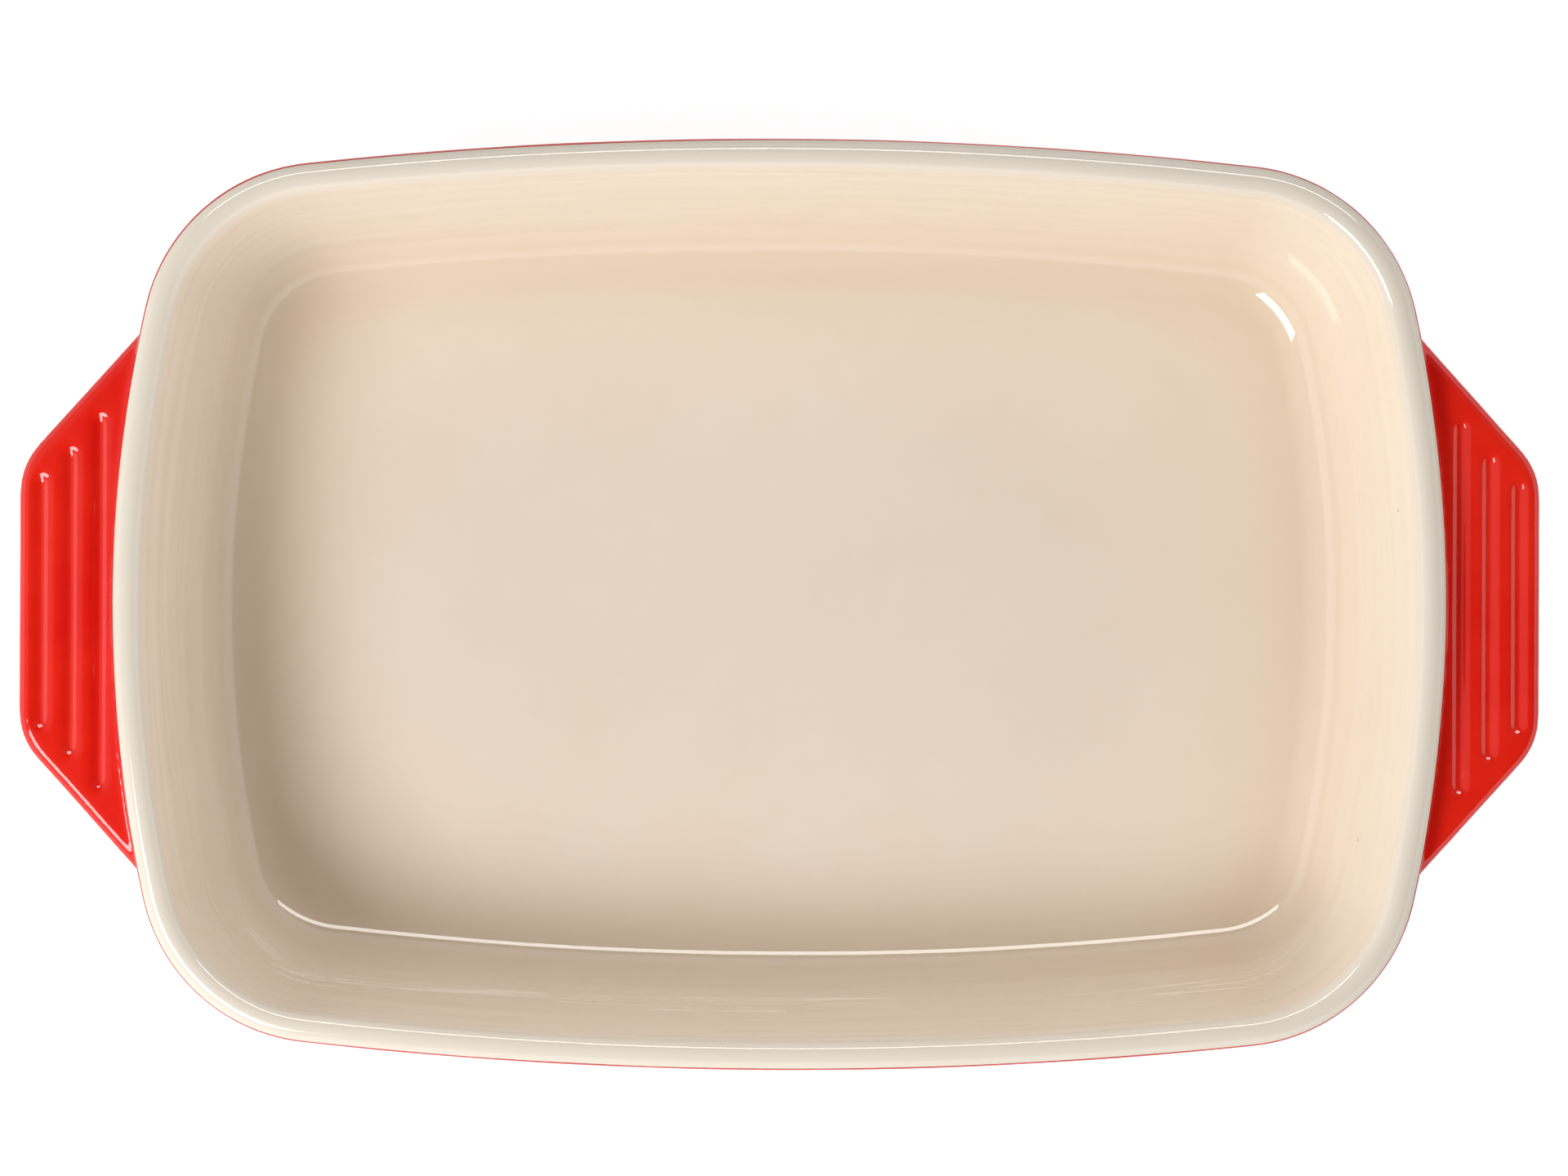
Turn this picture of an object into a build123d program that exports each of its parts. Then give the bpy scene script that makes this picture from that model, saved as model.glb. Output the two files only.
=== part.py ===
from build123d import *
import os
from math import acos, atan2, cos, degrees, hypot, radians, sin, sqrt, tan

# A stoneware lasagna dish, glazed cream inside and red outside. Millimetres, +Z up.
# The origin is on the table, under the middle of the dish. X runs along the dish, through
# both handles. Sizes are over the glaze unless their name says otherwise.

# Rim outline: three arcs to each quarter, each tangent to the next
rim_length = 369.4
rim_width = 257.6
long_side_radius = 1200.0
short_side_radius = 375.0
corner_radius = 51.0

# Walls and floor
dish_height = 75.0
wall_thickness = 9.0
draft_angle = 12.0
floor_thickness = 8.0
inside_floor_radius = 15.0
outside_base_radius = 16.0

# Foot ring, left bare for the kiln shelf
foot_height = 2.5
foot_width = 6.0
foot_setback = 1.5
foot_edge_radius = 1.0

# Glaze. The colours meet on the outer shoulder of the rim, at this angle above its widest point
glaze_thickness = 0.5
colour_line_angle = 30.0

# Tab handles, whose sides flare from the tip towards the wall
handle_reach = 26.4
handle_tip_width = 75.8
handle_flare_angle = 42.0
handle_thickness = 11.0
handle_drop = 7.5
tip_corner_radius = 20.0
wall_blend_radius = 30.0
wall_blend_depth = 0.6
top_edge_radius = 2.8
bottom_edge_radius = 3.0
top_cove_radius = 1.5
bottom_cove_radius = 2.5
cove_fade_angle = 45.0
cove_edge_margin = 0.4
# The clay's own coves are this much deeper, so that the clay ends blunt and the glaze pools there.
# Its blends stop this far short of where they would run out on the wall, for the same reason.
cove_pool_depth = 0.3
clay_end_setback = 1.8

# Finger grooves, side by side from the tip towards the wall
first_groove_inset = 6.2
groove_pitch = 8.1
groove_width = 5.8
groove_depth = 1.4
groove_lip_radius = 1.9
groove_break_angle = 15.0
groove_reach_shares = (0.81, 0.81, 0.845)


def arc(centre, radius, start, end):
    """Arc round a centre from one angle to another, in degrees."""
    return CenterArc(centre, radius, start, end - start)


def face_through(*steps):
    """Face inside an outline of points and arcs, joined in order by straight lines."""
    starts = [Vector(*step) if isinstance(step, tuple) else step @ 0 for step in steps]
    ends = [Vector(*step) if isinstance(step, tuple) else step @ 1 for step in steps]
    edges = [step for step in steps if not isinstance(step, tuple)]
    for end, start in zip(ends, starts[1:] + starts[:1]):
        if end != start:
            edges.append(Line(end, start))
    return make_face(edges)


# The wall section is drawn with x outwards from the rim's widest line and y up.
# The wall has parallel faces, leans outwards by the draft angle and ends in a full round lip.
draft = radians(draft_angle)
half_wall = wall_thickness / 2
lip_centre = (-half_wall, dish_height - half_wall)


def wall_x(offset, height):
    """Place on the line that runs down the wall, offset inwards from its middle."""
    drop = (lip_centre[1] + offset * sin(draft) - height) / cos(draft)
    return lip_centre[0] - offset * cos(draft) - drop * sin(draft)


floor_top = foot_height + floor_thickness
floor_arc_height = floor_top + inside_floor_radius
floor_arc_centre = (wall_x(half_wall + inside_floor_radius, floor_arc_height), floor_arc_height)
base_arc_height = foot_height + outside_base_radius
base_arc_centre = (wall_x(outside_base_radius - half_wall, base_arc_height), base_arc_height)
foot_outside = base_arc_centre[0] - foot_setback
foot_inside = foot_outside - foot_width
floor_edge = min(foot_inside, floor_arc_centre[0]) - foot_edge_radius

# Centres and half angles of the arcs of the rim
short_centre = rim_length / 2 - short_side_radius
long_centre = rim_width / 2 - long_side_radius
short_to_corner = short_side_radius - corner_radius
long_to_corner = long_side_radius - corner_radius
between = hypot(short_centre, long_centre)
along = (short_to_corner**2 - long_to_corner**2 + between**2) / (2 * between)
aside = sqrt(short_to_corner**2 - along**2)
corner_x = short_centre - (along * short_centre + aside * long_centre) / between
corner_y = (along * long_centre - aside * short_centre) / between
short_angle = degrees(atan2(corner_y, corner_x - short_centre))
long_angle = degrees(atan2(corner_x, corner_y - long_centre))
corner_sweep = 90 - short_angle - long_angle

# Centre, radius, first angle and sweep of each arc, for one half turn and then the other
rim_arcs = []
for turn, side in ((0, 1), (180, -1)):
    rim_arcs += [
        ((side * short_centre, 0), short_side_radius, turn - short_angle, 2 * short_angle),
        ((side * corner_x, side * corner_y), corner_radius, turn + short_angle, corner_sweep),
        ((0, side * long_centre), long_side_radius, turn + 90 - long_angle, 2 * long_angle),
        ((-side * corner_x, side * corner_y), corner_radius, turn + 90 + long_angle, corner_sweep),
    ]


def turned(section, centre, radius, start, sweep):
    """Turn a wall section round one arc of the rim."""
    return Pos(*centre) * Rot(0, 0, start) * revolve(Plane.XZ * (Pos(radius, 0) * section), Axis.Z, sweep)


def around_rim(section):
    """Carry a wall section all the way round the dish."""
    stretches = [turned(section, *rim_arc) for rim_arc in rim_arcs]
    return stretches[0].fuse(*stretches[1:])


def plate(edge, low, high):
    """Flat plate that fills the rim's outline out to an edge inside it."""
    outline = [CenterArc(centre, radius + edge, start, sweep) for centre, radius, start, sweep in rim_arcs]
    return extrude(Pos(0, 0, low) * make_face(outline), high - low)


def stoneware_body():
    """Fired clay under the glaze: walls, floor and the bare foot ring."""
    skin = glaze_thickness
    wall = face_through(
        arc(lip_centre, half_wall - skin, -draft_angle, 180 - draft_angle),
        arc(floor_arc_centre, inside_floor_radius + skin, -draft_angle, -90),
        (floor_edge, floor_top - skin),
        (floor_edge, foot_height + skin),
        (foot_inside, foot_height + skin),
        arc((foot_inside + foot_edge_radius, foot_edge_radius), foot_edge_radius, 180, 270),
        arc((foot_outside - foot_edge_radius, foot_edge_radius), foot_edge_radius, 270, 360),
        (foot_outside, foot_height + skin),
        arc(base_arc_centre, outside_base_radius - skin, -90, -draft_angle),
    )
    return around_rim(wall) + plate(floor_edge, foot_height + skin, floor_top - skin)


def cream_glaze():
    """Coat on the floor and inside walls, carried over the lip to the colour line."""
    skin = glaze_thickness
    coat = face_through(
        arc(lip_centre, half_wall, colour_line_angle, 180 - draft_angle),
        arc(floor_arc_centre, inside_floor_radius, -draft_angle, -90),
        (floor_edge, floor_top),
        (floor_edge, floor_top - skin),
        arc(floor_arc_centre, inside_floor_radius + skin, -90, -draft_angle),
        arc(lip_centre, half_wall - skin, 180 - draft_angle, colour_line_angle),
    )
    return around_rim(coat) + plate(floor_edge, floor_top - skin, floor_top)


def red_wall_coat():
    """Coat on the outside of the wall, from the colour line down to the foot ring."""
    skin = glaze_thickness
    coat = face_through(
        arc(lip_centre, half_wall, colour_line_angle, -draft_angle),
        arc(base_arc_centre, outside_base_radius, -draft_angle, -90),
        (foot_outside, foot_height),
        (foot_outside, foot_height + skin),
        arc(base_arc_centre, outside_base_radius - skin, -90, -draft_angle),
        arc(lip_centre, half_wall - skin, -draft_angle, colour_line_angle),
    )
    return around_rim(coat)


# Handles, drawn for the right one. The skin of a form is its depth under the glazed surface.
# Every skin keeps the same centres for its arcs, so the glaze is even all over.
flare = radians(handle_flare_angle)
handle_top = dish_height - handle_drop
handle_bottom = handle_top - handle_thickness
tip_x = rim_length / 2 + handle_reach

# The drafted side would meet the flat top this far outside the widest line of the round edge
edge_lead = tan(radians(45 + draft_angle / 2))
top_overhang = top_edge_radius * (edge_lead - 1)
underside_shrink = handle_thickness * tan(draft) - top_overhang


def side_y(x, inset):
    """Place on the handle's flared side, drawn in by an inset."""
    return handle_tip_width / 2 + ((tip_x - x) * cos(flare) - inset) / sin(flare)


tip_corner_x = tip_x - tip_corner_radius
tip_corner_y = side_y(tip_corner_x, tip_corner_radius)

# The blend is tangent to the flared side and to a circle that lies just inside the wall
blend_circle = short_side_radius + wall_x(-half_wall, handle_top) - wall_blend_depth - top_overhang
blend_reach = blend_circle + wall_blend_radius
blend_across = (tip_x - short_centre) * cos(flare) + handle_tip_width / 2 * sin(flare) + wall_blend_radius
blend_back = sqrt(blend_reach**2 - blend_across**2)
blend_x = short_centre + blend_across * cos(flare) + blend_back * sin(flare)
blend_y = blend_across * sin(flare) - blend_back * cos(flare)
blend_angle = degrees(atan2(blend_y, blend_x - short_centre))
blend_run = sqrt(2 * wall_blend_radius * wall_blend_depth)
clay_end_angle = blend_angle - degrees((blend_run + clay_end_setback) / short_side_radius)
root_share = (blend_circle - wall_thickness) / blend_reach
root_x = short_centre + root_share * (blend_x - short_centre)
root_y = root_share * blend_y


def handle_outline(shrink):
    """Outline in plan, drawn in on all sides from the handle's widest line."""
    blend_radius = wall_blend_radius + shrink
    tip_radius = tip_corner_radius - shrink
    return face_through(
        (root_x, root_y),
        arc((blend_x, blend_y), blend_radius, blend_angle - 180, handle_flare_angle - 180),
        arc((tip_corner_x, tip_corner_y), tip_radius, handle_flare_angle, 0),
        arc((tip_corner_x, -tip_corner_y), tip_radius, 0, -handle_flare_angle),
        arc((blend_x, -blend_y), blend_radius, 180 - handle_flare_angle, 180 - blend_angle),
        (root_x, -root_y),
    )


def beside_wall(section, angle):
    """Turn a section round the right short side, over an angle to each side of the middle."""
    return turned(section, (short_centre, 0), short_side_radius, -angle, 2 * angle)


def tab(skin, end_angle):
    """Flat tab with round edges, from inside the wall out to the tip, cut square at its ends."""
    outline = handle_outline(skin - (top_edge_radius - skin) * (edge_lead - 1))
    thickness = handle_thickness - 2 * skin
    blank = extrude(Pos(0, 0, handle_top - skin) * outline, thickness, (0, 0, -1), taper=draft_angle)
    # Each edge is picked at the tip, and its round runs on from there to the wall
    top_edge = blank.faces().sort_by(Axis.Z)[-1].edges().sort_by(Axis.X)[-1]
    blank = fillet(top_edge, top_edge_radius - skin)
    bottom_edge = blank.faces().sort_by(Axis.Z)[0].edges().sort_by(Axis.X)[-1]
    blank = fillet(bottom_edge, bottom_edge_radius - skin)
    high = handle_top + handle_thickness
    low = handle_bottom - handle_thickness
    far = handle_reach + handle_thickness
    outside = face_through((wall_x(0, high), high), (far, high), (far, low), (wall_x(0, low), low))
    return blank & beside_wall(outside, end_angle)


def cove(skin, pool, level, side, radius, shrink):
    """Hollow fillet between the wall and the top (side 1) or the underside (side -1)."""
    round_height = level + side * radius
    round_centre = (wall_x(-half_wall - radius, round_height), round_height)
    round_radius = radius + skin + pool
    # With no pool the round is tangent to both faces. With one it crosses them at this angle
    cross_angle = side * degrees(acos((radius + skin) / round_radius))
    edge = arc(round_centre, round_radius, -90 * side - cross_angle, -180 * side - draft_angle + cross_angle)
    touch = (edge @ 1).Y
    flat = level - side * skin
    section = face_through(edge, (wall_x(0, touch), touch), (wall_x(0, flat), flat))
    # It dies out towards its ends, a little short of where the flat runs into the round edges
    fade = extrude(Pos(0, 0, flat) * handle_outline(shrink), 2 * radius, (0, 0, side), taper=cove_fade_angle)
    return beside_wall(section, short_angle) & fade


def grooves(skin):
    """Cutters for the finger grooves, soft at the lip and round at both ends."""
    # The trough and the lip are two arcs, tangent to each other and to the handle's top
    trough_radius = (groove_width**2 / 4 + groove_depth**2) / (2 * groove_depth) - groove_lip_radius
    trough_height = handle_top - groove_depth + trough_radius
    lip_height = handle_top - groove_lip_radius
    turn_angle = degrees(atan2(lip_height - trough_height, groove_width / 2))
    lip_arc = arc(
        (groove_width / 2, lip_height), groove_lip_radius - skin, 180 + turn_angle, 90 + groove_break_angle
    )
    # Short of the top the lip runs on straight, to cross it at the break angle
    rise = groove_lip_radius * (1 - cos(radians(groove_break_angle)))
    brim_height = handle_top - skin + rise
    brim_x = (lip_arc @ 1).X + (brim_height - (lip_arc @ 1).Y) / tan(radians(groove_break_angle))
    half_section = face_through(
        (0, handle_top - groove_depth - skin),
        arc((0, trough_height), trough_radius + skin, -90, turn_angle),
        lip_arc,
        (brim_x, brim_height),
        (0, brim_height),
    )
    section = half_section + mirror(half_section, about=Plane.YZ)
    cap = revolve(Plane.XZ * half_section, Axis.Z, 180)
    cutters = []
    for count, share in enumerate(groove_reach_shares):
        x = tip_x - first_groove_inset - count * groove_pitch
        cap_y = share * side_y(x, 0) - groove_width / 2
        trough = extrude(Plane.XZ * section, cap_y, both=True)
        cutters += [Pos(x, 0) * trough, Pos(x, cap_y) * cap, Pos(x, -cap_y) * Rot(0, 0, 180) * cap]
    return cutters


def handle_form(skin, pool, end_angle):
    """Right handle's tab with its coves and grooves, from the middle of the wall outwards."""
    top_shrink = top_edge_radius + cove_edge_margin
    bottom_shrink = underside_shrink + bottom_edge_radius / edge_lead + cove_edge_margin
    form = tab(skin, end_angle)
    form += cove(skin, pool, handle_top, 1, top_cove_radius, top_shrink)
    form += cove(skin, pool, handle_bottom, -1, bottom_cove_radius, bottom_shrink)
    return form - grooves(skin)


body = stoneware_body()
right_core = handle_form(glaze_thickness, cove_pool_depth, clay_end_angle) - body
left_core = mirror(right_core, about=Plane.YZ)
right_coat = handle_form(0, 0, 2 * short_angle) - body - right_core
left_coat = mirror(right_coat, about=Plane.YZ)

parts = {
    "stoneware_body": body,
    "right_handle": right_core,
    "left_handle": left_core,
    "cream_glaze": cream_glaze(),
    "red_glaze": red_wall_coat() - right_core - left_core + right_coat + left_coat,
    "base_glaze": plate(foot_inside, foot_height, foot_height + glaze_thickness),
}

os.makedirs("parts", exist_ok=True)
for name, part in parts.items():
    export_step(part, f"parts/{name}.step")
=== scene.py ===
from math import atan2, cos, hypot, pi, radians, sin, sqrt

import bmesh
import bpy
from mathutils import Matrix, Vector, noise


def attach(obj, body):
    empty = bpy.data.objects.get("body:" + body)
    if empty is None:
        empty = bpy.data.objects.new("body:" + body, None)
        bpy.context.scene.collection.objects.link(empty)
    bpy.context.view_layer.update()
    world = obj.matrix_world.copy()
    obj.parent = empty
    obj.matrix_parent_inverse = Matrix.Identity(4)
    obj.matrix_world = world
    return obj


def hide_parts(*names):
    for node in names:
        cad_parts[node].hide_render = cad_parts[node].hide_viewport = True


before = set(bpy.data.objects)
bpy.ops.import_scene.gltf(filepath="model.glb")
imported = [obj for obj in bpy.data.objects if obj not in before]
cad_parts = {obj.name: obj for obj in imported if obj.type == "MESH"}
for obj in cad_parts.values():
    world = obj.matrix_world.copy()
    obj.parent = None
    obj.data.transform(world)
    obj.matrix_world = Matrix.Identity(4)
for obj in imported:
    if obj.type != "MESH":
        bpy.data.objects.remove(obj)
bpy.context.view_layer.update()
scene = bpy.context.scene

# Cream coat: the tin glaze on the floor and the inside walls, poured in and swilled round,
# then carried over the lip. It is half a millimetre thick, and its surface is never quite
# flat: it ran a little while it melted.

MM = 0.001

# The rim is three arcs to each quarter, each tangent to the next
rim_length, rim_width = 369.4 * MM, 257.6 * MM
long_side_radius, short_side_radius, corner_radius = 1200 * MM, 375 * MM, 51 * MM
short_centre = rim_length / 2 - short_side_radius
long_centre = rim_width / 2 - long_side_radius
short_reach, long_reach = short_side_radius - corner_radius, long_side_radius - corner_radius
between = hypot(short_centre, long_centre)
along = (short_reach**2 - long_reach**2 + between**2) / (2 * between)
aside = sqrt(short_reach**2 - along**2)
corner_x = short_centre - (along * short_centre + aside * long_centre) / between
corner_y = (along * long_centre - aside * short_centre) / between
short_angle = atan2(corner_y, corner_x - short_centre)
long_angle = atan2(corner_x, corner_y - long_centre)
corner_sweep = pi / 2 - short_angle - long_angle

# Centre, sweep and number of steps of each stretch, from the middle of the right side round
short_steps, corner_steps, long_steps = 16, 26, 44
rim_stretches = [
    ((short_centre, 0), short_angle, short_steps),
    ((corner_x, corner_y), corner_sweep, corner_steps),
    ((0, long_centre), 2 * long_angle, long_steps),
    ((-corner_x, corner_y), corner_sweep, corner_steps),
    ((-short_centre, 0), 2 * short_angle, 2 * short_steps),
    ((-corner_x, -corner_y), corner_sweep, corner_steps),
    ((0, -long_centre), 2 * long_angle, long_steps),
    ((corner_x, -corner_y), corner_sweep, corner_steps),
    ((short_centre, 0), short_angle, short_steps),
]
join_distance = 0.02 * MM

# The wall leans out by its draft and ends in a full round lip
dish_height, half_wall, draft = 75 * MM, 4.5 * MM, radians(12)
lip_x, lip_z = rim_length / 2 - half_wall, dish_height - half_wall
glaze_thickness = 0.5 * MM
floor_top, inside_floor_radius = 10.5 * MM, 15 * MM
outside_base_radius, foot_height = 16 * MM, 2.5 * MM
colour_line = radians(30)


def wall_x(offset, height):
    """Place on the wall at the middle of the right side, offset inwards from its middle line."""
    drop = (lip_z + offset * sin(draft) - height) / cos(draft)
    return lip_x - offset * cos(draft) - drop * sin(draft)


floor_arc_z = floor_top + inside_floor_radius
floor_arc_x = wall_x(half_wall + inside_floor_radius, floor_arc_z)
floor_edge = floor_arc_x - 3 * MM
lip_steps, wall_rows, hollow_steps, floor_rings = 18, 26, 16, 12


def draw_line(bm, tip, x, z, steps):
    """Run the section on from its tip in a straight line."""
    start = tip.co.copy()
    for step in range(1, steps + 1):
        tip = bmesh.ops.extrude_vert_indiv(bm, verts=[tip])["verts"][0]
        tip.co = start.lerp(Vector((x, 0, z)), step / steps)
    return tip


def draw_arc(bm, tip, x, z, sweep, steps):
    """Run the section on from its tip round a centre; a plus sweep turns from up to outwards."""
    spun = bmesh.ops.spin(
        bm, geom=[tip], cent=(x, 0, z), axis=(0, 1, 0), angle=sweep, steps=steps,
        use_merge=False, use_normal_flip=False, use_duplicate=False,
    )
    return next(part for part in spun["geom_last"] if isinstance(part, bmesh.types.BMVert))


def carry_round(bm, section):
    """Carry a section all the way round the rim."""
    for (x, y), sweep, steps in rim_stretches:
        spun = bmesh.ops.spin(
            bm, geom=section, cent=(x, y, 0), axis=(0, 0, 1), angle=sweep, steps=steps,
            use_merge=False, use_normal_flip=False, use_duplicate=False,
        )
        section = spun["geom_last"]
    bmesh.ops.remove_doubles(bm, verts=bm.verts, dist=join_distance)


# Where the glaze ran down a wall it left laps, long and low, one above another
lap_length, lap_height = 80 * MM, 4.5 * MM
ripples_to_a_sag, ripple_start = 2.7, Vector((5, 1, 8))


def settle(bm, depth, spread, laps=0):
    """Let the melted glaze lie unevenly, inwards only: a slow sag, and level laps on the walls."""
    bm.normal_update()
    moves = []
    for vert in bm.verts:
        x, y, z = vert.co
        slow = noise.noise(vert.co / spread)
        quick = noise.noise(vert.co / spread * ripples_to_a_sag + ripple_start)
        sag = depth * min(0, max(-1, -0.5 + 0.5 * slow + 0.25 * quick))
        lap = noise.noise(Vector((x / lap_length, y / lap_length, z / lap_height)))
        upright = 1 - abs(vert.normal.z)
        moves.append(vert.normal * (sag - laps * upright * (0.5 + lap)))
    for vert, move in zip(bm.verts, moves):
        vert.co += move


def finish_piece(name, bm, sharp):
    """Turn a finished mesh into a smooth shaded piece that rides on the dish."""
    for face in bm.faces:
        face.smooth = True
    for edge in bm.edges:
        edge.smooth = edge.calc_face_angle(0) < sharp
    mesh = bpy.data.meshes.new(name)
    bm.to_mesh(mesh)
    bm.free()
    piece = bpy.data.objects.new(name, mesh)
    scene.collection.objects.link(piece)
    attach(piece, "root")
    return piece


def coat_face(bm, skin):
    """Draw one face of the cream coat's section, from the colour line down to the floor's edge."""
    lip = half_wall - skin
    tip = bm.verts.new((lip_x + lip * cos(colour_line), 0, lip_z + lip * sin(colour_line)))
    first = tip
    tip = draw_arc(bm, tip, lip_x, lip_z, -(pi - draft - colour_line), lip_steps)
    reach = inside_floor_radius + skin
    hollow_top = floor_arc_x + reach * cos(draft), floor_arc_z - reach * sin(draft)
    tip = draw_line(bm, tip, *hollow_top, wall_rows)
    tip = draw_arc(bm, tip, floor_arc_x, floor_arc_z, pi / 2 - draft, hollow_steps)
    draw_line(bm, tip, floor_edge, floor_top - skin, 1)
    return first


bm = bmesh.new()
bmesh.ops.contextual_create(bm, geom=[coat_face(bm, 0), coat_face(bm, glaze_thickness)])
carry_round(bm, bm.verts[:] + bm.edges[:])

# The floor closes in from its edge in rings, shrunk towards the middle
for level, rings in ((floor_top, floor_rings), (floor_top - glaze_thickness, 1)):
    hem = [
        edge for edge in bm.edges
        if edge.is_boundary and all(abs(vert.co.z - level) < 0.1 * MM for vert in edge.verts)
    ]
    for ring in range(rings):
        hem = [
            part for part in bmesh.ops.extrude_edge_only(bm, edges=hem)["geom"]
            if isinstance(part, bmesh.types.BMEdge) and part.is_boundary
        ]
        hem_verts = list({vert for edge in hem for vert in edge.verts})
        share = 1 - 1 / (rings - ring + 0.5)
        bmesh.ops.scale(bm, vec=(share, share, 1), verts=hem_verts)
    bmesh.ops.contextual_create(bm, geom=hem)
bmesh.ops.recalc_face_normals(bm, faces=bm.faces)

settle(bm, depth=0.14 * MM, spread=45 * MM, laps=0.3 * MM)
section_corner = radians(40)
cream_coat = finish_piece("cream_coat", bm, section_corner)
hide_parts("cream_glaze")


def new_material(name):
    """Empty node material with its shader, as the material, its nodes and the shader."""
    material = bpy.data.materials.new(name)
    material.use_nodes = True
    tree = material.node_tree
    return material, tree, tree.nodes["Principled BSDF"]


def add_node(tree, kind, inputs, **settings):
    """Add a node, with each named input set to a value or fed from another node's output."""
    node = tree.nodes.new("ShaderNode" + kind)
    for name, value in settings.items():
        setattr(node, name, value)
    for name, value in inputs.items():
        if isinstance(value, bpy.types.NodeSocket):
            tree.links.new(value, node.inputs[name])
        else:
            node.inputs[name].default_value = value
    return node


def ramp(tree, value, low, high, out_low=0.0, out_high=1.0):
    """Spread part of a value's range out, with soft ends."""
    return add_node(
        tree, "MapRange",
        {"Value": value, "From Min": low, "From Max": high, "To Min": out_low, "To Max": out_high},
        interpolation_type="SMOOTHSTEP",
    ).outputs["Result"]


def mix(tree, share, first, second):
    """Mix two colours by a share."""
    share_input, first_input, second_input, colour_output = 0, 6, 7, 2
    inputs = {share_input: share, first_input: first, second_input: second}
    return add_node(tree, "Mix", inputs, data_type="RGBA").outputs[colour_output]


def math(tree, operation, first, second):
    """Work out one value from two."""
    return add_node(tree, "Math", {0: first, 1: second}, operation=operation).outputs[0]


def new_group(name, inputs, outputs):
    """Empty shader node group, as its tree, its inputs and the node that takes its outputs."""
    group = bpy.data.node_groups.new(name, "ShaderNodeTree")
    for words, way in ((inputs, "INPUT"), (outputs, "OUTPUT")):
        for word, kind in words.items():
            group.interface.new_socket(word, in_out=way, socket_type="NodeSocket" + kind)
    return group, group.nodes.new("NodeGroupInput").outputs, group.nodes.new("NodeGroupOutput")


# Fired glaze: it is thicker in some places than in others, ripples a little where it ran, and
# holds fine specks and the pinholes that gas left; the specks are dark iron in the cream, and
# light in the red, where they are painted glints. Heights are in millimetres, and the
# scales say how many of a thing there are to a metre.
fired_glaze, given, result = new_group(
    "fired glaze",
    {
        "Thick Colour": "Color", "Thin Colour": "Color",
        "Speck Colour": "Color", "Speck Share": "Float",
        "Pinhole Share": "Float", "Pinhole Depth": "Float", "Ripple Height": "Float",
    },
    {"Colour": "Color", "Roughness": "Float", "Height": "Float"},
)
place = fired_glaze.nodes.new("ShaderNodeTexCoord").outputs["Object"]
peel_share = 0.06


def glaze_math(operation, first, second):
    """Work out one value from two inside the fired glaze."""
    return math(fired_glaze, operation, first, second)


def glaze_noise(scale, detail):
    """Cloudy pattern inside the fired glaze."""
    inputs = {"Vector": place, "Scale": scale, "Detail": detail, "Roughness": 0.5}
    return add_node(fired_glaze, "TexNoise", inputs).outputs["Fac"]


def glaze_dots(scale, radius, share):
    """Round dots in some cells of a size, as a mask."""
    cells = add_node(fired_glaze, "TexVoronoi", {"Vector": place, "Scale": scale}).outputs
    chance = add_node(fired_glaze, "SeparateColor", {"Color": cells["Color"]}).outputs
    reach = glaze_math("MULTIPLY", chance["Green"], radius)
    dot = glaze_math("LESS_THAN", cells["Distance"], reach)
    return glaze_math("MULTIPLY", dot, glaze_math("LESS_THAN", chance["Red"], share))


cloud = glaze_math("MULTIPLY", glaze_noise(scale=140, detail=3), 0.4)
thin = ramp(fired_glaze, glaze_math("ADD", glaze_noise(scale=24, detail=2), cloud), 0.3, 1.1)
colour = mix(fired_glaze, thin, given["Thick Colour"], given["Thin Colour"])
# Specks: dark iron ones in the cream, and in the red light ones that are painted glints
specks = glaze_dots(scale=110, radius=0.045, share=given["Speck Share"])
colour = mix(fired_glaze, specks, colour, given["Speck Colour"])
fired_glaze.links.new(colour, result.inputs["Colour"])

grain = glaze_noise(scale=1500, detail=2)
roughness = ramp(fired_glaze, grain, 0.3, 0.7, out_low=0.015, out_high=0.05)
fired_glaze.links.new(roughness, result.inputs["Roughness"])

peel_height = glaze_math("MULTIPLY", given["Ripple Height"], peel_share)
height = glaze_math(
    "ADD",
    glaze_math("MULTIPLY", glaze_noise(scale=75, detail=1), given["Ripple Height"]),
    glaze_math("MULTIPLY", glaze_noise(scale=420, detail=1), peel_height),
)
pinholes = glaze_dots(scale=330, radius=0.12, share=given["Pinhole Share"])
pits = glaze_math("MULTIPLY", pinholes, given["Pinhole Depth"])
fired_glaze.links.new(glaze_math("SUBTRACT", height, pits), result.inputs["Height"])

# It pools in the hollow round the floor, where a deeper colour is painted, partly for the pooled
# glaze and partly as painted shade, and it thins out over the lip
floor_halves = {"X": 158 * MM, "Y": 102 * MM}
pool_and_shade_top, pool_and_shade_full = 28 * MM, 12 * MM
pool_and_shade_inside, pool_and_shade_outside = 0.06, 0.9
thin_from, thin_full = 69.5 * MM, 74.5 * MM
glass_ior = 1.54


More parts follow.
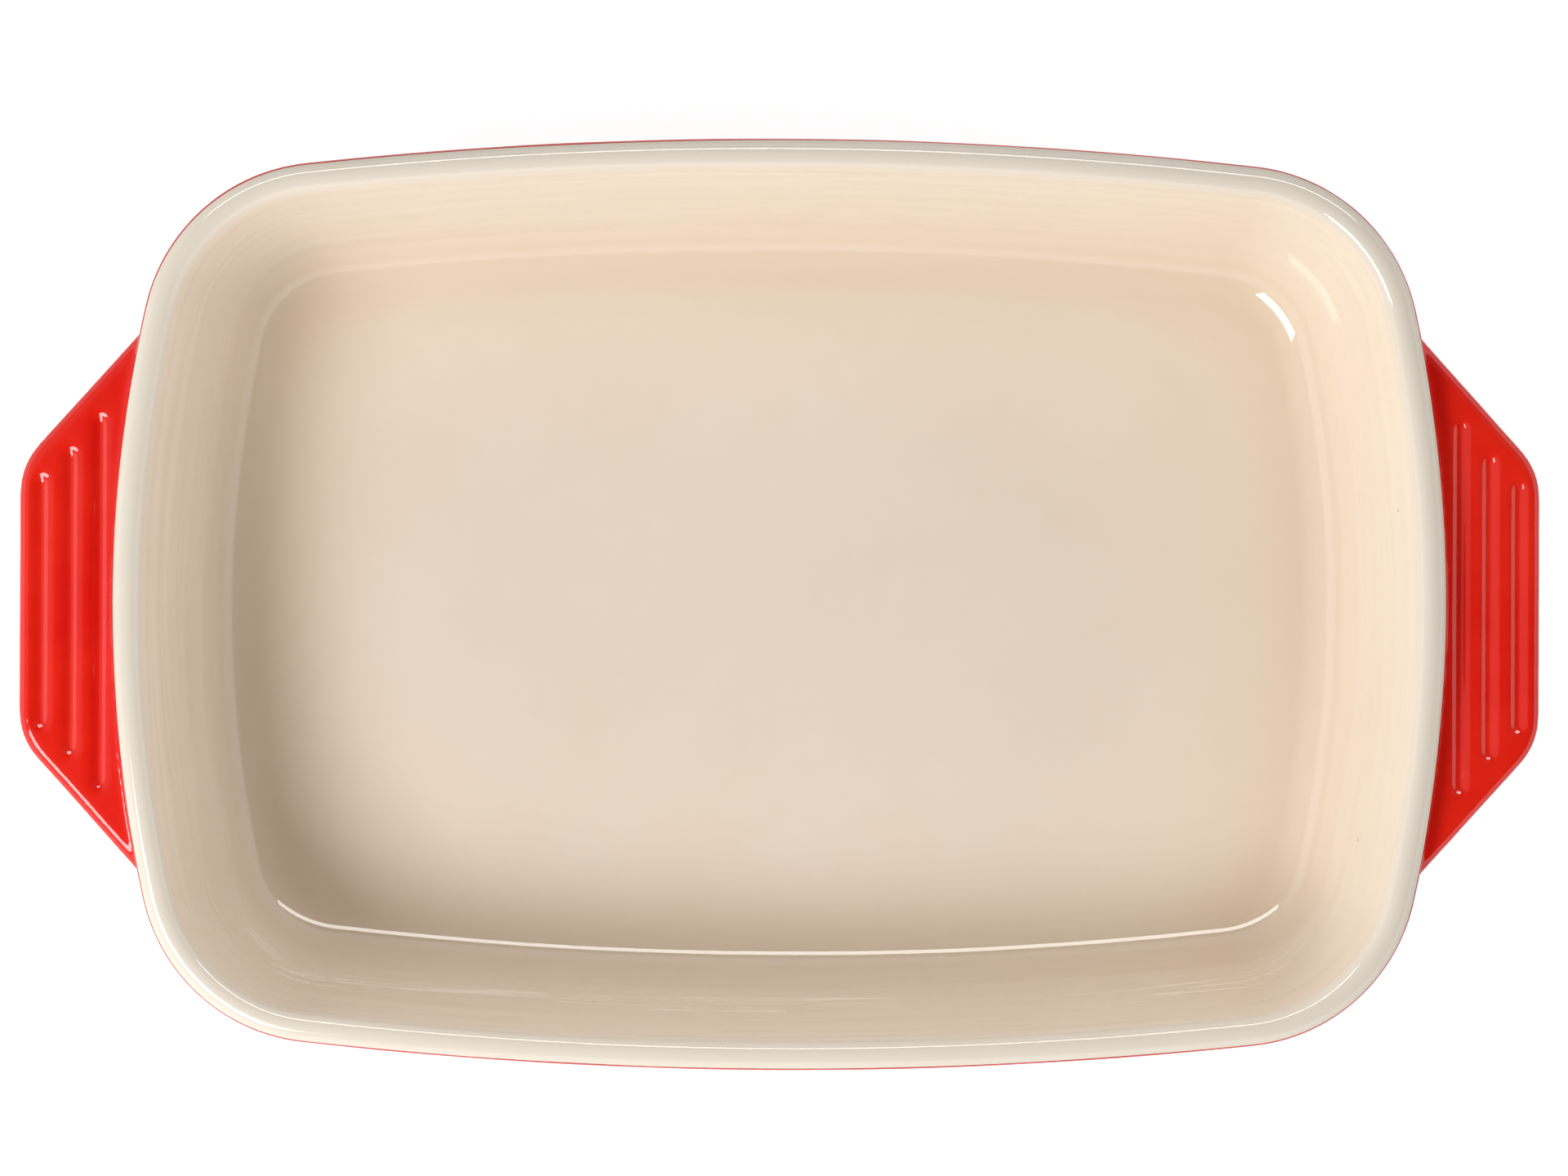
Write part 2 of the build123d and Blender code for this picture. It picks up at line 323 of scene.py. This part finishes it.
def glaze_material(name, rim_colour, pool_and_shade_colour, **values):
    """Glossy fired glaze, with a colour where it is thin and a deeper colour where it pools, which
    also paints shade there.
    """
    material, tree, shader = new_material(name)
    inputs = {word.replace("_", " ").title(): value for word, value in values.items()}
    glaze = add_node(tree, "Group", inputs, node_tree=fired_glaze).outputs
    place = tree.nodes.new("ShaderNodeTexCoord").outputs["Object"]
    place = add_node(tree, "SeparateXYZ", {"Vector": place}).outputs

    # Nought at the middle of the floor and one all along its edge, which is a rounded oblong
    outwards = 0
    for axis, half in floor_halves.items():
        share = math(tree, "MULTIPLY", place[axis], 1 / half)
        share = math(tree, "POWER", math(tree, "MULTIPLY", share, share), 3)
        outwards = math(tree, "ADD", share, outwards)
    # Painted shade, in part pooled glaze: low down and near the floor's edge the colour turns
    # deeper
    low = ramp(tree, place["Z"], pool_and_shade_top, pool_and_shade_full)
    pool_and_shade = math(tree, "MULTIPLY", ramp(tree, outwards, pool_and_shade_inside, pool_and_shade_outside), low)
    colour = mix(tree, pool_and_shade, glaze["Colour"], pool_and_shade_colour)
    colour = mix(tree, ramp(tree, place["Z"], thin_from, thin_full), colour, rim_colour)

    relief = add_node(tree, "Bump", {"Height": glaze["Height"], "Distance": MM, "Strength": 1})
    tree.links.new(colour, shader.inputs["Base Color"])
    tree.links.new(glaze["Roughness"], shader.inputs["Roughness"])
    tree.links.new(relief.outputs["Normal"], shader.inputs["Normal"])
    shader.inputs["IOR"].default_value = glass_ior
    return material


cream = glaze_material(
    "cream glaze, gloss",
    # The pooled colour is browner: pooled glaze, and painted shade round the floor's edge
    rim_colour=(0.76, 0.685, 0.58, 1), pool_and_shade_colour=(0.83, 0.68, 0.525, 1),
    thick_colour=(0.85, 0.73, 0.60, 1), thin_colour=(0.87, 0.76, 0.64, 1),
    speck_colour=(0.12, 0.07, 0.04, 1), speck_share=0.02,
    pinhole_share=0.02, pinhole_depth=0.02, ripple_height=0.03,
)
cream_coat.data.materials.append(cream)

# Red wall coat: the coloured glaze on the outside of the wall, sprayed on from the colour line
# at the rim down to the bare foot ring. It is half a millimetre thick, and the same glaze
# covers the underside within the ring, where the CAD's own coat shows.

base_arc_z = foot_height + outside_base_radius
base_arc_x = wall_x(outside_base_radius - half_wall, base_arc_z)
foot_outside = base_arc_x - 1.5 * MM
inner_lip = half_wall - glaze_thickness
lip_sweep, base_sweep = colour_line + draft, pi / 2 - draft
wall_foot = (
    base_arc_x + outside_base_radius * cos(draft), base_arc_z - outside_base_radius * sin(draft)
)
coat_back = foot_height + glaze_thickness

bm = bmesh.new()
tip = bm.verts.new((
    lip_x + half_wall * cos(colour_line), 0, lip_z + half_wall * sin(colour_line)
))
first = tip
tip = draw_arc(bm, tip, lip_x, lip_z, lip_sweep, 10)
tip = draw_line(bm, tip, *wall_foot, wall_rows)
tip = draw_arc(bm, tip, base_arc_x, base_arc_z, base_sweep, hollow_steps)
tip = draw_line(bm, tip, foot_outside, foot_height, 1)
tip = draw_line(bm, tip, foot_outside, coat_back, 1)
tip = draw_line(bm, tip, base_arc_x, coat_back, 1)
tip = draw_arc(bm, tip, base_arc_x, base_arc_z, -base_sweep, 8)
tip = draw_line(bm, tip, lip_x + inner_lip * cos(draft), lip_z - inner_lip * sin(draft), 2)
tip = draw_arc(bm, tip, lip_x, lip_z, -lip_sweep, 5)
bmesh.ops.contextual_create(bm, geom=[tip, first])
carry_round(bm, bm.verts[:] + bm.edges[:])
bmesh.ops.recalc_face_normals(bm, faces=bm.faces)

settle(bm, depth=0.12 * MM, spread=30 * MM, laps=0.04 * MM)
red_wall_coat = finish_piece("red_wall_coat", bm, section_corner)
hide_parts("red_glaze")

red = glaze_material(
    "red glaze, gloss",
    # Low on the outside wall the pooled colour makes the red darker, partly pooling and partly
    # painted shade
    rim_colour=(0.62, 0.05, 0.03, 1), pool_and_shade_colour=(0.62, 0.006, 0.006, 1),
    thick_colour=(0.73, 0.010, 0.006, 1), thin_colour=(0.81, 0.023, 0.010, 1),
    # Its light specks are painted glints, as of the pinholes catching the light
    speck_colour=(0.90, 0.16, 0.10, 1), speck_share=0.5,
    pinhole_share=0.3, pinhole_depth=0.05, ripple_height=0.03,
)
red_wall_coat.data.materials.append(red)
base_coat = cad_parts["base_glaze"]
base_coat.data.materials.clear()
base_coat.data.materials.append(red)

# Handle coats: the same red glaze all round both tabs. It softens the pressed finger grooves,
# rounds every edge and fills the coves at the wall, which it meets with no line to see. The
# right one is wrapped round what the CAD has there, and the left one mirrors it.

handle_top, handle_thickness = 67.5 * MM, 11 * MM
top_cove, bottom_cove = 1.5 * MM, 2.5 * MM
handle_bottom = handle_top - handle_thickness
form_inside, form_outside, form_half_width = 169 * MM, 220 * MM, 80.5 * MM
face_size = 0.45 * MM


def outer_wall_x(height):
    """Place on the outside of the wall at the middle of the right side."""
    if height > lip_z - half_wall * sin(draft):
        return lip_x + sqrt(max(0, half_wall**2 - (height - lip_z) ** 2))
    return wall_x(-half_wall, height)


def cut_out(name, low, high):
    """Copy what a node has between two corners, closed where it is cut."""
    bm = bmesh.new()
    bm.from_mesh(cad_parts[name].data)
    bmesh.ops.remove_doubles(bm, verts=bm.verts, dist=0.001 * MM)
    for corner, way in ((low, -1), (high, 1)):
        for axis in range(3):
            normal = Vector([way if axis == other else 0 for other in range(3)])
            cut = bmesh.ops.bisect_plane(
                bm, geom=bm.verts[:] + bm.edges[:] + bm.faces[:], dist=0.0001 * MM,
                plane_co=corner, plane_no=normal, clear_outer=True,
            )
            edges = [part for part in cut["geom_cut"] if isinstance(part, bmesh.types.BMEdge)]
            if edges:
                bmesh.ops.triangle_fill(bm, edges=edges, use_beauty=True, use_dissolve=False)
    return bm


def smoothed(value):
    """Ease a share from nought to one."""
    share = min(1, max(0, value))
    return share * share * (3 - 2 * share)


def remesh(bm, size):
    """Wrap everything in one closed skin of small even faces."""
    mesh = bpy.data.meshes.new("form")
    bm.to_mesh(mesh)
    bm.free()
    form = bpy.data.objects.new("form", mesh)
    scene.collection.objects.link(form)
    wrap = form.modifiers.new("wrap", "REMESH")
    wrap.mode = "VOXEL"
    wrap.voxel_size = size
    evaluated = form.evaluated_get(bpy.context.evaluated_depsgraph_get())
    wrapped = bpy.data.meshes.new_from_object(evaluated)
    bm = bmesh.new()
    bm.from_mesh(wrapped)
    for leftover in (mesh, wrapped):
        bpy.data.meshes.remove(leftover)
    return bm


low = Vector((form_inside, -form_half_width, handle_bottom - bottom_cove - 3 * MM))
high = Vector((form_outside, form_half_width, lip_z))
form = bpy.data.meshes.new("form parts")
bm = bmesh.new()
for name in ("stoneware_body", "right_handle", "red_glaze"):
    part = cut_out(name, low, high)
    part.to_mesh(form)
    part.free()
    bm.from_mesh(form)
bpy.data.meshes.remove(form)
bm = remesh(bm, face_size)

# The glaze rounds everything a little, and the pressed grooves of the top face most of all
all_rounds, groove_rounds, groove_depth = 8, 18, 1.8 * MM
for bottom, rounds in ((0, all_rounds), (handle_top - groove_depth, groove_rounds)):
    flowing = [vert for vert in bm.verts if vert.co.z > bottom]
    for smoothing in range(rounds):
        bmesh.ops.smooth_vert(
            bm, verts=flowing, factor=0.5, use_axis_x=True, use_axis_y=True, use_axis_z=True
        )

# On the wall the coat is a hair proud of the wall's own. Past the tab and its coves it sinks
# into the wall, and the back of the form stays in the clay
cove_margin, tip_angle = 0.6 * MM, radians(13.3)
wall_skin, wall_fade = 0.1 * MM, 0.4 * MM
proud, sunk, sink_width, form_depth = 0.02 * MM, 0.8 * MM, 0.9 * MM, 4 * MM
for vert in bm.verts:
    across = Vector((vert.co.x - short_centre, vert.co.y, 0))
    out = across.length - (outer_wall_x(vert.co.z) - short_centre)
    beyond = max(
        vert.co.z - (handle_top + top_cove + cove_margin),
        handle_bottom - bottom_cove - cove_margin - vert.co.z,
        (abs(atan2(across.y, across.x)) - tip_angle) * short_side_radius,
    )
    on_wall = 1 - smoothed((out - wall_skin) / wall_fade)
    sink = on_wall * (proud - sunk * smoothed(beyond / sink_width))
    vert.co += across.normalized() * (max(out, -form_depth) + sink - out)

form = bpy.data.meshes.new("right form")
bm.to_mesh(form)
bm.free()
for name, side in (("right_handle_coat", 1), ("left_handle_coat", -1)):
    bm = bmesh.new()
    bm.from_mesh(form)
    bmesh.ops.scale(bm, vec=(side, 1, 1), verts=bm.verts)
    bmesh.ops.recalc_face_normals(bm, faces=bm.faces)
    settle(bm, depth=0.12 * MM, spread=16 * MM)
    coat = finish_piece(name, bm, pi)
    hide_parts("red_glaze")
    coat.data.materials.append(red)
bpy.data.meshes.remove(form)

# Stoneware: the buff clay body, pressed with its foot ring, and the two tabs luted on to its
# short walls. Only the foot ring shows it bare, sanded smooth, with its grog and iron specks.

dark_clay, pale_clay = (0.50, 0.37, 0.24, 1), (0.62, 0.49, 0.34, 1)
grog_colour, iron_colour = (0.74, 0.64, 0.50, 1), (0.13, 0.07, 0.04, 1)
iron_radius, iron_share = 0.16, 0.12

clay, tree, shader = new_material("bare stoneware")
place = tree.nodes.new("ShaderNodeTexCoord").outputs["Object"]
cloud = add_node(tree, "TexNoise", {"Vector": place, "Scale": 60, "Detail": 4}).outputs["Fac"]
sand = add_node(tree, "TexNoise", {"Vector": place, "Scale": 1800, "Detail": 3}).outputs["Fac"]
colour = mix(tree, ramp(tree, cloud, 0.35, 0.65), dark_clay, pale_clay)
colour = mix(tree, ramp(tree, sand, 0.35, 0.75, out_high=0.5), colour, grog_colour)
cells = add_node(tree, "TexVoronoi", {"Vector": place, "Scale": 600}).outputs
chance = add_node(tree, "SeparateColor", {"Color": cells["Color"]}).outputs["Red"]
iron = math(
    tree, "MULTIPLY",
    math(tree, "LESS_THAN", cells["Distance"], iron_radius),
    math(tree, "LESS_THAN", chance, iron_share),
)
relief = add_node(tree, "Bump", {"Height": sand, "Distance": 0.06 * MM, "Strength": 1})
tree.links.new(mix(tree, iron, colour, iron_colour), shader.inputs["Base Color"])
tree.links.new(ramp(tree, cloud, 0.3, 0.7, 0.72, 0.9), shader.inputs["Roughness"])
tree.links.new(relief.outputs["Normal"], shader.inputs["Normal"])
for name in ("stoneware_body", "right_handle", "left_handle"):
    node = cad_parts[name]
    node.data.materials.clear()
    node.data.materials.append(clay)

# Table: a plain white sheet under the dish. The camera sees it a little brighter than it
# lights the dish, so that it runs out to white and still keeps the shadow.

table_half, table_white, table_glow = 8, (0.9, 0.9, 0.9, 1), (0.66, 0.66, 0.66, 1)

bm = bmesh.new()
bmesh.ops.create_grid(bm, x_segments=1, y_segments=1, size=table_half)
mesh = bpy.data.meshes.new("table")
bm.to_mesh(mesh)
bm.free()
table = bpy.data.objects.new("table", mesh)
scene.collection.objects.link(table)
white, tree, shader = new_material("white table")
shader.inputs["Base Color"].default_value = table_white
shader.inputs["Roughness"].default_value = 0.9
path = tree.nodes.new("ShaderNodeLightPath")
tree.links.new(path.outputs["Is Camera Ray"], shader.inputs["Emission Strength"])
shader.inputs["Emission Color"].default_value = table_glow
table.data.materials.append(white)

# Lamps: a broad soft box from the lower left, a long narrow one that shows in the gloss
# alone, and a weak fill that doesn't show in it. Pale cloths hang round a dark ceiling.

dish_middle = Vector((0, 0, 0.04))


def direction(azimuth, elevation):
    """Which way something is, as seen from the dish, from its two angles in degrees."""
    azimuth, elevation = radians(azimuth), radians(elevation)
    return Vector((cos(elevation) * cos(azimuth), cos(elevation) * sin(azimuth), sin(elevation)))


def soft_lamp(name, azimuth, elevation, distance, width, height, level):
    """Flat lamp seen from the dish at an azimuth and elevation, whose face has a plain level."""
    lamp = bpy.data.lights.new(name, "AREA")
    lamp.shape = "RECTANGLE"
    lamp.size, lamp.size_y = width, height
    lamp.energy = level * pi * width * height
    stand = bpy.data.objects.new(name, lamp)
    away = direction(azimuth, elevation)
    stand.location = dish_middle + distance * away
    stand.rotation_euler = away.to_track_quat("Z", "Y").to_euler()
    scene.collection.objects.link(stand)
    return stand


soft_lamp("key", azimuth=219, elevation=47, distance=1.3, width=0.85, height=0.42, level=10.9)
strip = soft_lamp("strip", azimuth=90, elevation=46, distance=1.2, width=1.8, height=0.18, level=9)
strip.visible_diffuse = False
fill = soft_lamp("fill", azimuth=15, elevation=55, distance=1.3, width=1.2, height=0.9, level=0.85)
fill.visible_glossy = False

world = bpy.data.worlds.new("studio")
world.use_nodes = True
scene.world = world
tree = world.node_tree
background = tree.nodes["Background"]
towards = tree.nodes.new("ShaderNodeTexCoord").outputs["Generated"]


def pale_cloth(azimuth, elevation, full, faded, level):
    """Cloth hung off in one direction: full level out to one angle, faded out at another."""
    aim = tuple(direction(azimuth, elevation))
    facing = add_node(tree, "VectorMath", {0: towards, 1: aim}, operation="DOT_PRODUCT")
    edge, heart = cos(radians(faded)), cos(radians(full))
    return ramp(tree, facing.outputs["Value"], edge, heart, out_high=level)


place = add_node(tree, "SeparateXYZ", {"Vector": towards}).outputs
below_ceiling = ramp(tree, place["Z"], sin(radians(34)), sin(radians(28)))
walls = ramp(tree, place["X"], -0.5, 0.4, out_low=1.0, out_high=1.25)
light = math(tree, "MULTIPLY", walls, below_ceiling)
for azimuth, faded, level in ((180, 42, 0.45), (45, 28, 0.15)):
    cloth = pale_cloth(azimuth, elevation=44, full=10, faded=faded, level=level)
    light = math(tree, "ADD", light, cloth)
background.inputs["Color"].default_value = (1, 1, 1, 1)
tree.links.new(light, background.inputs["Strength"])

# Camera: straight above the dish, a hair out of true, as the photograph was taken. Its lens
# gives the photograph's number of pixels to a millimetre at the height of the lip.

camera_height, pixels_to_mm, photo_width = 1200 * MM, 4.43, 1920

camera = bpy.data.cameras.new("overhead camera")
camera.sensor_width = 36
camera.lens = pixels_to_mm * (camera_height - lip_z) / MM / photo_width * camera.sensor_width
camera.clip_end = 20
view = bpy.data.objects.new("overhead camera", camera)
view.location = (0, 0, camera_height)
view.rotation_euler = (radians(0.228), radians(-0.063), radians(0.24))
scene.collection.objects.link(view)
scene.camera = view
scene.view_settings.view_transform = "Standard"
